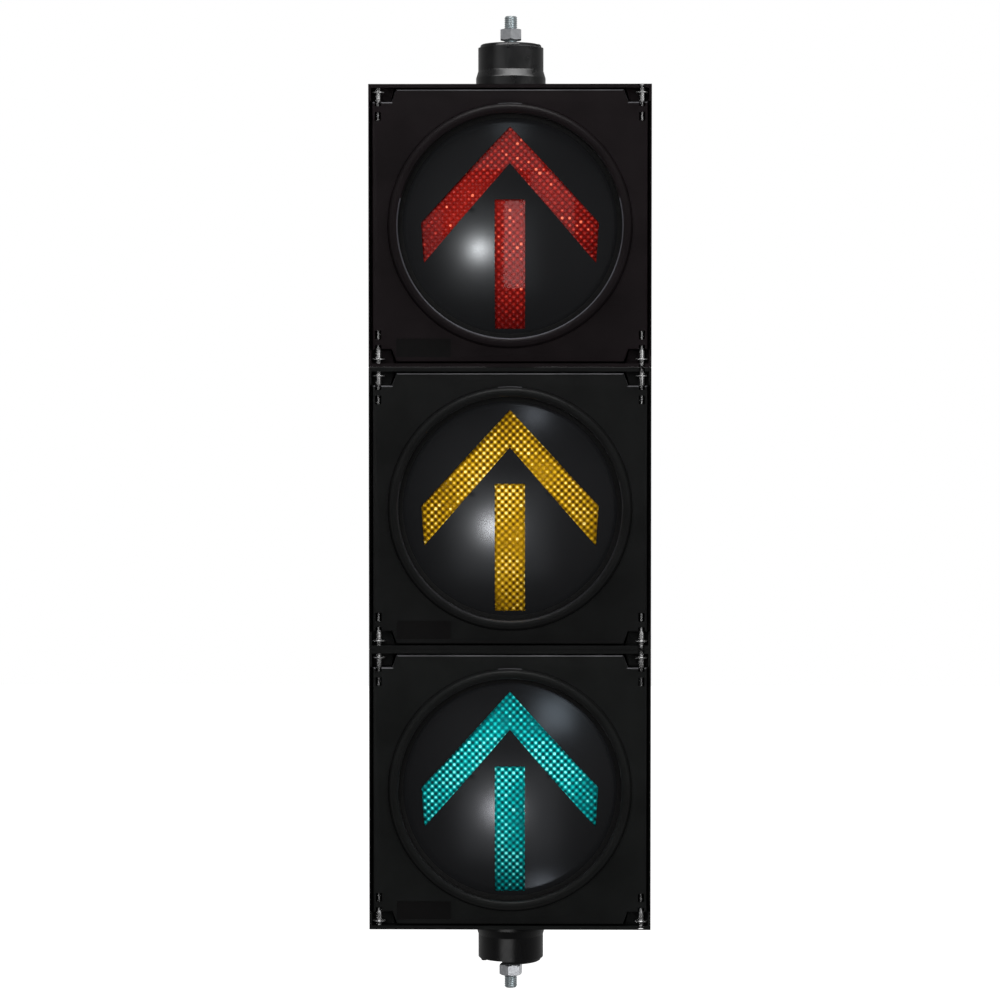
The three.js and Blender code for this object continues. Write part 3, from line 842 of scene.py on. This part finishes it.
def build_sections():
    door = door_mesh()
    mask = mask_mesh()
    lens = lens_mesh()
    bolt = sprung_bolt_mesh()
    gasket = gasket_mesh()
    clamp = clamp_mesh()
    label = mesh_from("label", *box((-101.6, -85.6, -117.1), (-52.9, -85.45, -100.9)))
    bowl = reflector_mesh()
    holder = holder_mesh()
    globe, cap = lamp_meshes()
    for colour in COLOURS:
        dress(f"{colour}_housing", BLACK_PAINTED_CAST[colour], 0.5)
        dress(f"{colour}_door_gasket", RUBBER, 0.3)
        dress(f"{colour}_lead", SLEEVE)
        # Door slots: black with its painted cast, painted top-edge highlight, painted seat-lip highlight.
        door_looks = [BLACK_PAINTED_CAST[colour], PAINTED_EDGE_HIGHLIGHT, LIP_HIGHLIGHT[colour]]
        section_piece(colour, "door_leaf_shell", door, "door", door_looks)
        section_piece(colour, "label", label, "door", LABEL, replaces=False)
        section_piece(colour, "mask_shell", mask, "arrow_mask", MASK)
        section_piece(colour, "lens_shell", lens, "lens", [GLAZE, LENS[colour]])
        section_piece(colour, "gasket_ring", gasket, "lens_gasket", RUBBER)
        section_piece(colour, "clamp_ring", clamp, "lens_clamp_ring", PLASTIC)
        section_piece(colour, "bowl", bowl, "reflector", ALUMINIUM)
        section_piece(colour, "socket", holder, "lamp_holder", PORCELAIN)
        section_piece(colour, "globe", globe, "lamp", GLASS)
        section_piece(colour, "lamp_cap", cap, "lamp", ZINC, replaces=False)
        for corner, (sx, sz) in CORNERS.items():
            node = f"{colour}_bolt_{corner}"
            at = (sx * BOLT_X, BOLT_Y, SECTION_Z[colour])
            piece(f"{node}_turned", bolt, node, BRIGHT, at, down=sz < 0)


def reflector_mesh():
    """Spun bowl with a rolled rim and four tabs."""
    focal, apex, thick, edge = 45.0, 7.0, 1.6, 107
    radii = np.linspace(103, 24, 26)
    inner = [(r, apex - r * r / (4 * focal)) for r in radii]
    rim = inner[0][1]
    outer = [(r, y + thick) for r, y in inner[::-1]]
    collar = [(21.2, 4.5), (21, 5.2), (21, 12), (22.2, 12), (22.2, 6)]
    profile = [(edge, rim), *inner, *collar, *outer, (edge, rim + thick)]
    tabs = [
        box((103.5, -52.3, -9), (121, -50.3, 9)),
        box((-121, -52.3, -9), (-103.5, -50.3, 9)),
        box((-9, -52.3, 103.5), (9, -50.3, 121)),
        box((-9, -52.3, -121), (9, -50.3, -103.5)),
    ]
    verts, faces = lathe(profile, 96)
    for tab_verts, tab_faces in tabs:
        base = len(verts)
        verts += tab_verts
        faces += [[i + base for i in face] for face in tab_faces]
    return smooth(outward(mesh_from("reflector", verts, faces)), 30)


def joint_plate_mesh():
    """The thin seal that fills the joint between two sections."""
    sheet = box((-126.2, -86.8, -0.27), (126.2, 35, 0.27))
    return csg(sheet, [("DIFFERENCE", rod(0, 0, 24, -1, 1, 64))])


def build_fittings():
    spigots = {"upper": spigot_mesh(25), "lower": spigot_mesh(22)}
    seal = turned("seal", [(23.4, 0.3), (30.9, 0.3), (30.9, 1.7), (23.4, 1.7)], axis="z")
    stud = stud_mesh(5.0, SPIGOT + 26)
    head = nut_mesh(-2, 5.7, 0)
    ring_nut = ring_nut_mesh()
    bush_profile = [(18, -8.9), (30, -8.9), (30, -3.9), (22.4, -3.9), (22.4, 15), (18, 15)]
    bush = turned("coupling_bush", bush_profile, axis="z")
    lower_nut_turn = math.radians(13)
    for place, z in {"upper": TOP_Z - SPIGOT, "lower": SPIGOT}.items():
        down = place == "lower"
        at = (0, 0, z)
        nut = nut_mesh(SPIGOT + 4, SPIGOT + 14, math.pi / 2 + (lower_nut_turn if down else 0))
        # Slot 1 takes the painted recess shade; on the upper spigot slot 2 takes the painted ledge highlight.
        plastics = [SPIGOT_PLASTIC, PAINTED_RECESS_SHADE, SPIGOT_PLASTIC if down else PAINTED_EDGE_HIGHLIGHT]
        for name, mesh, node, material, slot in (
            ("spigot_shell", spigots[place], "spigot", plastics, "black_plastic"),
            ("seal_ring", seal, "spigot_seal", RUBBER, "rubber"),
            ("stud_thread", stud, "bracket_bolt", ZINC, "zinc_steel"),
            ("stud_head", head, "bracket_bolt", ZINC, "zinc_steel"),
        ):
            piece(f"{place}_{name}", mesh, f"{place}_{node}", material, at, down)
        hex_nut = piece(f"{place}_hex_nut", nut, f"{place}_bracket_nut", NUT, at, down)
        add_bevel(hex_nut, 0.35, 30)
        # The ring nut is behind the housing's wall.
        at = (0, 0, z + (11.9 if down else -11.9))
        piece(f"{place}_lock_ring", ring_nut, f"{place}_spigot_ring_nut", ZINC, at, down)
    for place, z in JOINTS.items():
        at = (0, 0, z)
        piece(f"{place}_coupler", bush, f"{place}_coupling_bush", PLASTIC, at)
        at = (0, 0, z + 3.6)
        piece(f"{place}_coupler_nut", ring_nut, f"{place}_coupling_ring_nut", ZINC, at)
    dress("terminal_block", TERMINAL, 0.6)
    plate = joint_plate_mesh()
    for place, z in JOINTS.items():
        at = (0, 0, z)
        piece(f"{place}_joint_seal", plate, "amber_housing", RUBBER, at, replaces=False)


# Stage, light and camera.


def build_stage():
    """A pale floor, which neither lights the head nor shows in its reflections."""
    half, z = 9000, -700
    corners = [(-half, -half, z), (half, -half, z), (half, half, z), (-half, half, z)]
    floor_mesh = mesh_from("floor", corners, [[0, 1, 2, 3]])
    floor = bpy.data.objects.new("floor", floor_mesh)
    bpy.context.scene.collection.objects.link(floor)
    material = bpy.data.materials.new("pale_floor")
    material.use_nodes = True
    shader = material.node_tree.nodes["Principled BSDF"]
    shader.inputs["Base Color"].default_value = (0.9, 0.9, 0.9, 1)
    shader.inputs["Emission Color"].default_value = (1, 1, 1, 1)
    shader.inputs["Emission Strength"].default_value = 1.0
    floor.data.materials.append(material)
    floor.visible_diffuse = False
    floor.visible_glossy = False


def build_world():
    """White to the camera. In reflections it is bright behind the object and dim in front."""
    world = bpy.data.worlds.new("studio")
    bpy.context.scene.world = world
    world.use_nodes = True
    nodes, links = world.node_tree.nodes, world.node_tree.links
    nodes.clear()
    out = nodes.new("ShaderNodeOutputWorld")
    white = nodes.new("ShaderNodeBackground")
    white.inputs["Color"].default_value = (1, 1, 1, 1)
    studio = nodes.new("ShaderNodeBackground")
    mix = nodes.new("ShaderNodeMixShader")
    path = nodes.new("ShaderNodeLightPath")
    where = nodes.new("ShaderNodeTexCoord")
    split = nodes.new("ShaderNodeSeparateXYZ")
    level = nodes.new("ShaderNodeMapRange")
    level.inputs["From Min"].default_value = -0.7
    level.inputs["From Max"].default_value = 0.8
    level.inputs["To Min"].default_value = 0.03
    level.inputs["To Max"].default_value = 0.4
    links.new(where.outputs["Generated"], split.inputs["Vector"])
    links.new(split.outputs["Y"], level.inputs["Value"])
    links.new(level.outputs["Result"], studio.inputs["Strength"])
    links.new(path.outputs["Is Camera Ray"], mix.inputs["Fac"])
    links.new(studio.outputs["Background"], mix.inputs[1])
    links.new(white.outputs["Background"], mix.inputs[2])
    links.new(mix.outputs["Shader"], out.inputs["Surface"])


def area_light(name, at, towards, size, power, glossy=True, diffuse=True, colour=(1, 1, 1), only=None):
    """A rectangular light. The objects listed in only are all that it lights."""
    data = bpy.data.lights.new(name, "AREA")
    data.shape = "RECTANGLE"
    data.size, data.size_y = size
    data.energy = power
    data.color = colour
    light = bpy.data.objects.new(name, data)
    bpy.context.scene.collection.objects.link(light)
    light.location = at
    light.rotation_euler = (Vector(towards) - Vector(at)).to_track_quat("-Z", "Y").to_euler()
    light.visible_glossy = glossy
    light.visible_diffuse = diffuse
    light.visible_camera = False
    if only:
        group = bpy.data.collections.new(name + "_receivers")
        for obj in only:
            group.objects.link(obj)
        light.light_linking.receiver_collection = group


def mirror_way(at, normal):
    """Where the camera's line of sight goes after a mirror of this normal."""
    sight = (CAMERA_AT - at).normalized()
    return 2 * normal.dot(sight) * normal - sight


def dome_mirror(colour, x, z, radius):
    """A point on a section's dome, and the point that the camera sees mirrored there."""
    at = Vector((x * MM, dome_y(radius, x, z) * MM, (SECTION_Z[colour] + z) * MM))
    normal = Vector((x, -math.sqrt(radius**2 - x * x - z * z), z)).normalized()
    return at, at + mirror_way(at, normal) * LIGHT_DISTANCE


# Section, x and z on the dome, light's size, power and colour.
MASK_LIGHTS = [
    ("red", -27, -21.5, 0.06, 3.9, (0.93, 0.97, 1.0)),
    ("red", -16, -20, 0.9, 0.9, (0.9, 0.95, 1.0)),
    ("red", 0, 88, 0.2, 0.25, (0.8, 0.9, 1.0)),
    ("amber", -14, -15.5, 0.14, 4.7, (0.93, 0.96, 1.0)),
    ("amber", -8, -18, 1.0, 1.4, (0.88, 0.93, 1.0)),
    ("amber", 22, 84, 0.15, 0.5, (0.8, 0.88, 1.0)),
    ("green", -8, -15.8, 0.16, 3.5, (0.92, 0.94, 1.0)),
    ("green", 0, -18, 1.0, 1.5, (0.88, 0.93, 1.0)),
    ("green", 40, 68, 0.30, 1.3, (0.72, 0.86, 1.0)),
    ("green", 28, -87, 0.15, 0.5, (0.8, 0.88, 1.0)),
]

# Section, lowest and highest x, lowest and highest z of a softbox's mirror image, and radiance.
LENS_HAZE = [
    ("red", -5.5, 20, -58, 24, 1.8),
    ("red", -46, 34, 50, 96, 0.55),
    ("red", 20, 58, -25, 50, 0.55),
    ("red", -86, -60, -34, 14, 0.3),
]

# For each nut, the way that a face looks, in degrees to the right, and its light's radiance.
NUT_LIGHTS = {"upper": [(-30, 1.0), (30, 1.6)], "lower": [(-44, 0.6), (16, 3.8), (76, 1.0)]}


def build_lights():
    middle = Vector((0, -0.05, 0.42))
    area_light("fill", (-1.2, -3.2, 1.6), middle, (2.2, 2.2), 49, glossy=False)
    area_light("fill_right", (1.6, -2.4, 0.4), middle, (1.6, 2.0), 27, glossy=False)
    area_light("top", (0, -0.5, 2.4), middle, (1.2, 0.8), 10)
    spigot = [bpy.data.objects["upper_spigot_shell"]]
    at, towards = (0.25, -1.15, 1.75), (0, 0, 0.82)
    area_light("cone_light", at, towards, (5.0, 0.5), 72, diffuse=False, only=spigot)
    spigot = [bpy.data.objects["lower_spigot_shell"]]
    area_light("low_light", (-0.5, -2.0, -0.35), (0, 0, 0.02), (1.6, 0.7), 5, only=spigot)
    lenses = [bpy.data.objects[f"{colour}_lens_shell"] for colour in COLOURS]
    area_light("lens_fill", (-0.4, -2.3, 1.1), middle, (1.2, 1.2), 40, glossy=False, only=lenses)
    for i, (colour, x, z, size, power, tint) in enumerate(MASK_LIGHTS):
        at, source = dome_mirror(colour, x, z, MASK_R)
        masks = [bpy.data.objects[f"{colour}_mask_shell"]]
        area_light(f"mask_light_{i}", source, at, (size, size), power, diffuse=False, colour=tint, only=masks)
    for i, (colour, x0, x1, z0, z1, radiance) in enumerate(LENS_HAZE):
        x, z = (x0 + x1) / 2, (z0 + z1) / 2
        at, source = dome_mirror(colour, x, z, LENS_R)
        left, right = (dome_mirror(colour, side, z, LENS_R)[1] for side in (x0, x1))
        low, high = (dome_mirror(colour, x, side, LENS_R)[1] for side in (z0, z1))
        size = ((right - left).length, (high - low).length)
        power = radiance * math.pi * size[0] * size[1]
        lens = [bpy.data.objects[f"{colour}_lens_shell"]]
        area_light(f"lens_haze_{i}", source, at, size, power, diffuse=False, only=lens)
    sprung = [obj for obj in bpy.data.objects if obj.name.endswith("_turned")]
    area_light("sprung_fill", (-1.2, -3.2, 1.2), middle, (2.0, 2.0), 6, only=sprung)
    area_light("sprung_key", (1.5, -2.0, 0.9), middle, (0.8, 1.2), 6, only=sprung)
    metal = [obj for obj in bpy.data.objects if obj.name.endswith("_stud_thread")]
    area_light("metal_fill", (-1.2, -3.2, 1.2), middle, (2.0, 2.0), 13, only=metal)
    area_light("metal_key", (1.5, -2.0, 0.9), middle, (0.8, 1.2), 20, only=metal)
    low_stud = [bpy.data.objects["lower_stud_thread"]]
    area_light("low_stud_key", (1.1, -1.9, -0.5), (0, 0, 0), (0.8, 0.5), 4.5, only=low_stud)
    area_light("low_stud_fill", (-0.6, -2.2, -0.5), (0, 0, 0), (0.8, 0.5), 1.6, only=low_stud)
    for place, faces in NUT_LIGHTS.items():
        nut = bpy.data.objects[f"{place}_hex_nut"]
        at = sum(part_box(f"{place}_bracket_nut"), Vector()) / 2
        for degrees, radiance in faces:
            turn = math.radians(degrees)
            way = mirror_way(at, Vector((math.sin(turn), -math.cos(turn), 0)))
            source = at + way * LIGHT_DISTANCE
            name = f"{place}_nut_light_{degrees}"
            area_light(name, source, at, (0.5, 0.5), radiance * math.pi / 4, only=[nut])


def build_camera():
    data = bpy.data.cameras.new("camera")
    data.sensor_width = 36
    data.lens = CAMERA_LENS
    data.shift_y = CAMERA_SHIFT_Y
    camera = bpy.data.objects.new("camera", data)
    bpy.context.scene.collection.objects.link(camera)
    camera.location = CAMERA_AT
    camera.rotation_euler = (math.radians(CAMERA_PITCH), 0, math.radians(CAMERA_TURN))
    bpy.context.scene.camera = camera


build_sections()
build_fittings()
build_stage()
build_world()
build_camera()
build_lights()
bpy.context.scene.view_settings.view_transform = "Standard"
bpy.context.scene.view_settings.look = "None"
